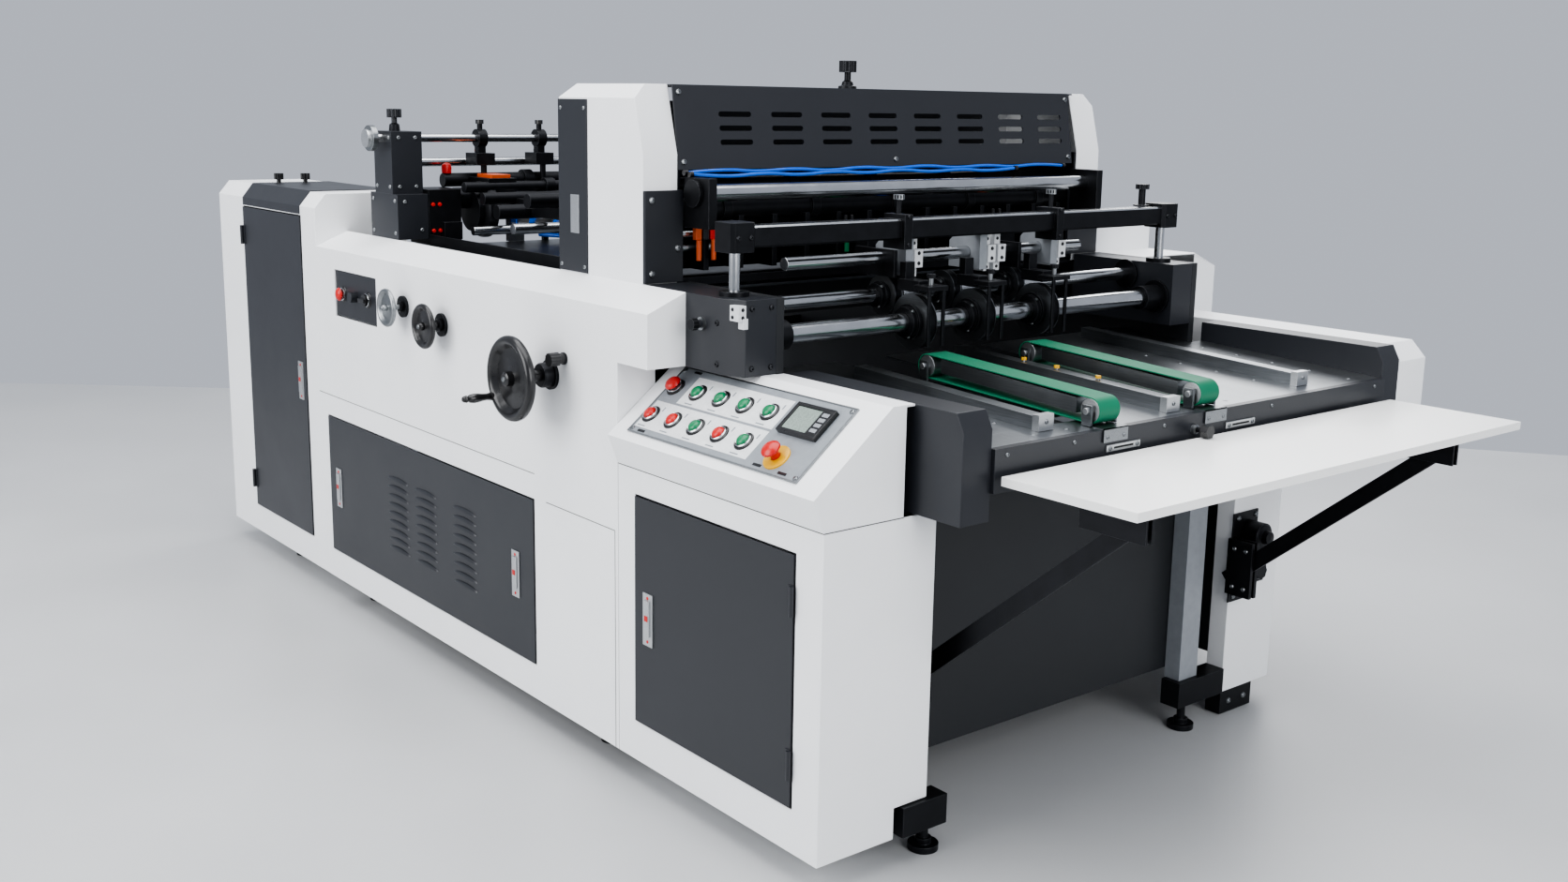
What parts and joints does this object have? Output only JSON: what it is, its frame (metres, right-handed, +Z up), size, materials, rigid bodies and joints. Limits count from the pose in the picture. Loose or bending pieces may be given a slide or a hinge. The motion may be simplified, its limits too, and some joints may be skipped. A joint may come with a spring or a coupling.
{
  "type": "sheet creasing and perforating machine",
  "caption": "Sheet-fed print finishing machine with a pile feeder, tooling tower, sloping operator console and a belt delivery table with a fold-down board.",
  "frame": {"origin": "centre of the footprint's bounding box, on the floor", "axes": "+X along the sheet's travel, from the feeder to the fold-down board; +Y from the operator's side to the drive side; +Z up"},
  "size_m": [3.6, 2.132, 1.6],
  "materials": {
    "white_powder_coat": "satin powder coat",
    "charcoal_powder_coat": "satin powder coat",
    "black_oxide": "blackened, dull",
    "frame_paint": "semi-matt",
    "stainless": "brushed",
    "chromed_shaft": "ground and chromed",
    "anodised": "clear anodised",
    "grey_paint": "satin",
    "black_plastic": "moulded",
    "red_button": "glossy",
    "green_button": "glossy",
    "belt_green": "satin",
    "white_board": "laminate",
    "hose_blue": "glossy",
    "screen": "glossy",
    "zinc": "zinc plated"
  },
  "bodies": {
    "machine": {"base_frame": "frame_paint", "levelling_feet": "black_oxide", "operator_side_panel": "white_powder_coat", "column_covers": "white_powder_coat", "access_panel": "charcoal_powder_coat", "console_cabinet": "white_powder_coat", "console_head": "white_powder_coat", "control_plate": "grey_paint", "button_bezels": "anodised", "display_unit": "screen", "feeder_panel": "charcoal_powder_coat", "panel_fittings": "anodised", "tower_covers": "white_powder_coat", "tower_guards": "charcoal_powder_coat", "slotted_guard": "charcoal_powder_coat", "bearing_blocks": "charcoal_powder_coat", "tie_bars": "chromed_shaft", "knife_holders": "grey_paint", "crossbeam": "black_oxide", "delivery_deck": "stainless", "delivery_belts": "belt_green", "sheet_guides": "stainless", "front_rail": "charcoal_powder_coat", "rail_covers": "charcoal_powder_coat", "drive_side_covers": "white_powder_coat", "delivery_leg": "white_powder_coat", "stay_clamps": "black_oxide", "feed_deck": "stainless", "feeder_pillars": "charcoal_powder_coat", "feeder_head": "black_oxide", "air_hoses": "hose_blue", "pile_guides": "zinc", "drive_motor": "grey_paint"},
    "column_door": {"column_door": "charcoal_powder_coat"},
    "cabinet_door": {"cabinet_door": "charcoal_powder_coat"},
    "emergency_stop": {"emergency_stop": "red_button"},
    "feeder_stop": {"feeder_stop": "red_button"},
    "feeder_selector": {"feeder_selector": "black_plastic"},
    "feed_handwheel": {"feed_handwheel": "chromed_shaft"},
    "register_handwheel": {"register_handwheel": "black_plastic"},
    "main_handwheel": {"main_handwheel": "black_plastic"},
    "crank_grip": {"crank_grip": "black_plastic"},
    "clamp_knob": {"clamp_knob": "black_plastic"},
    "main_shaft": {"main_shaft": "chromed_shaft"},
    "counter_shaft": {"counter_shaft": "chromed_shaft"},
    "front_rollers": {"front_rollers": "anodised"},
    "rear_rollers": {"rear_rollers": "anodised"},
    "fold_board": {"fold_board": "white_board"},
    "board_stays": {"board_stays": "black_oxide"},
    "pile_table": {"pile_table": "stainless"},
    "push_button_1": {"push_button_1": "red_button"},
    "push_button_2": {"push_button_2": "red_button"},
    "push_button_3": {"push_button_3": "green_button"},
    "push_button_4": {"push_button_4": "red_button"},
    "push_button_5": {"push_button_5": "green_button"},
    "push_button_6": {"push_button_6": "red_button"},
    "push_button_7": {"push_button_7": "green_button"},
    "push_button_8": {"push_button_8": "green_button"},
    "push_button_9": {"push_button_9": "green_button"},
    "push_button_10": {"push_button_10": "green_button"}
  },
  "joints": [
    {"name": "column_door_swing", "type": "hinge", "parent": "machine", "child": "column_door", "pos_m": [-1.58, -0.885, 0.649], "axis": [0, 0, -1], "range_deg": [0, 110]},
    {"name": "cabinet_door_swing", "type": "hinge", "parent": "machine", "child": "cabinet_door", "pos_m": [1.248, -0.885, 0.412], "axis": [0, 0, 1], "range_deg": [0, 110]},
    {"name": "feed_handwheel_turn", "type": "hinge", "parent": "machine", "child": "feed_handwheel", "pos_m": [-0.409, -0.906, 0.95], "axis": [0, 1, 0], "continuous": true},
    {"name": "register_handwheel_turn", "type": "hinge", "parent": "machine", "child": "register_handwheel", "pos_m": [-0.186, -0.906, 0.928], "axis": [0, 1, 0], "continuous": true},
    {"name": "main_handwheel_turn", "type": "hinge", "parent": "machine", "child": "main_handwheel", "pos_m": [0.357, -0.936, 0.88], "axis": [0, 1, 0], "continuous": true},
    {"name": "crank_grip_turn", "type": "hinge", "parent": "main_handwheel", "child": "crank_grip", "pos_m": [0.28475, -0.996, 0.8294], "axis": [0, 1, 0], "continuous": true},
    {"name": "clamp_knob_turn", "type": "hinge", "parent": "machine", "child": "clamp_knob", "pos_m": [0.416, -0.916, 0.925], "axis": [0, 1, 0], "continuous": true},
    {"name": "feeder_selector_turn", "type": "hinge", "parent": "machine", "child": "feeder_selector", "pos_m": [-0.65, -0.876, 0.94], "axis": [0, 1, 0], "range_deg": [-45, 45]},
    {"name": "main_shaft_turn", "type": "hinge", "parent": "machine", "child": "main_shaft", "pos_m": [0.88, 0.024, 1.017], "axis": [0, 1, 0], "continuous": true},
    {"name": "counter_shaft_turn", "type": "hinge", "parent": "machine", "child": "counter_shaft", "pos_m": [0.78, 0.024, 1.068], "axis": [0, 1, 0], "continuous": true},
    {"name": "front_rollers_turn", "type": "hinge", "parent": "machine", "child": "front_rollers", "pos_m": [1.425, 0.024, 0.904], "axis": [0, 1, 0], "continuous": true},
    {"name": "rear_rollers_turn", "type": "hinge", "parent": "machine", "child": "rear_rollers", "pos_m": [0.955, 0.024, 0.928], "axis": [0, 1, 0], "continuous": true},
    {"name": "fold_board_swing", "type": "hinge", "parent": "machine", "child": "fold_board", "pos_m": [1.474, 0.095, 0.81], "axis": [0, 1, 0], "range_deg": [0, 88]},
    {"name": "board_stays_slide", "type": "slide", "parent": "machine", "child": "board_stays", "axis": [-0.7705, 0, -0.6374], "range_m": [0, 0.4]},
    {"name": "pile_table_lift", "type": "slide", "parent": "machine", "child": "pile_table", "axis": [0, 0, 1], "range_m": [-0.14, 0.75]},
    {"name": "feeder_stop_press", "type": "slide", "parent": "machine", "child": "feeder_stop", "axis": [0, 1, 0], "range_m": [0, 0.004], "stiffness_N_per_m": 400, "springref_m": -0.002},
    {"name": "emergency_stop_press", "type": "slide", "parent": "machine", "child": "emergency_stop", "axis": [0, 0.6272, -0.7789], "range_m": [0, 0.004], "stiffness_N_per_m": 800, "springref_m": -0.002},
    {"name": "push_button_1_press", "type": "slide", "parent": "machine", "child": "push_button_1", "axis": [0, 0.6272, -0.7789], "range_m": [0, 0.0025], "stiffness_N_per_m": 400, "springref_m": -0.002},
    {"name": "push_button_2_press", "type": "slide", "parent": "machine", "child": "push_button_2", "axis": [0, 0.6272, -0.7789], "range_m": [0, 0.0025], "stiffness_N_per_m": 400, "springref_m": -0.002},
    {"name": "push_button_3_press", "type": "slide", "parent": "machine", "child": "push_button_3", "axis": [0, 0.6272, -0.7789], "range_m": [0, 0.0025], "stiffness_N_per_m": 400, "springref_m": -0.002},
    {"name": "push_button_4_press", "type": "slide", "parent": "machine", "child": "push_button_4", "axis": [0, 0.6272, -0.7789], "range_m": [0, 0.0025], "stiffness_N_per_m": 400, "springref_m": -0.002},
    {"name": "push_button_5_press", "type": "slide", "parent": "machine", "child": "push_button_5", "axis": [0, 0.6272, -0.7789], "range_m": [0, 0.0025], "stiffness_N_per_m": 400, "springref_m": -0.002},
    {"name": "push_button_6_press", "type": "slide", "parent": "machine", "child": "push_button_6", "axis": [0, 0.6272, -0.7789], "range_m": [0, 0.0025], "stiffness_N_per_m": 400, "springref_m": -0.002},
    {"name": "push_button_7_press", "type": "slide", "parent": "machine", "child": "push_button_7", "axis": [0, 0.6272, -0.7789], "range_m": [0, 0.0025], "stiffness_N_per_m": 400, "springref_m": -0.002},
    {"name": "push_button_8_press", "type": "slide", "parent": "machine", "child": "push_button_8", "axis": [0, 0.6272, -0.7789], "range_m": [0, 0.0025], "stiffness_N_per_m": 400, "springref_m": -0.002},
    {"name": "push_button_9_press", "type": "slide", "parent": "machine", "child": "push_button_9", "axis": [0, 0.6272, -0.7789], "range_m": [0, 0.0025], "stiffness_N_per_m": 400, "springref_m": -0.002},
    {"name": "push_button_10_press", "type": "slide", "parent": "machine", "child": "push_button_10", "axis": [0, 0.6272, -0.7789], "range_m": [0, 0.0025], "stiffness_N_per_m": 400, "springref_m": -0.002}
  ],
  "couplings": [
    {"joint": "counter_shaft_turn", "follows": "main_shaft_turn", "ratio": -1},
    {"joint": "rear_rollers_turn", "follows": "front_rollers_turn", "ratio": 1},
    {"joint": "board_stays_slide", "follows": "fold_board_swing", "m_per_rad": 0.2565}
  ]
}
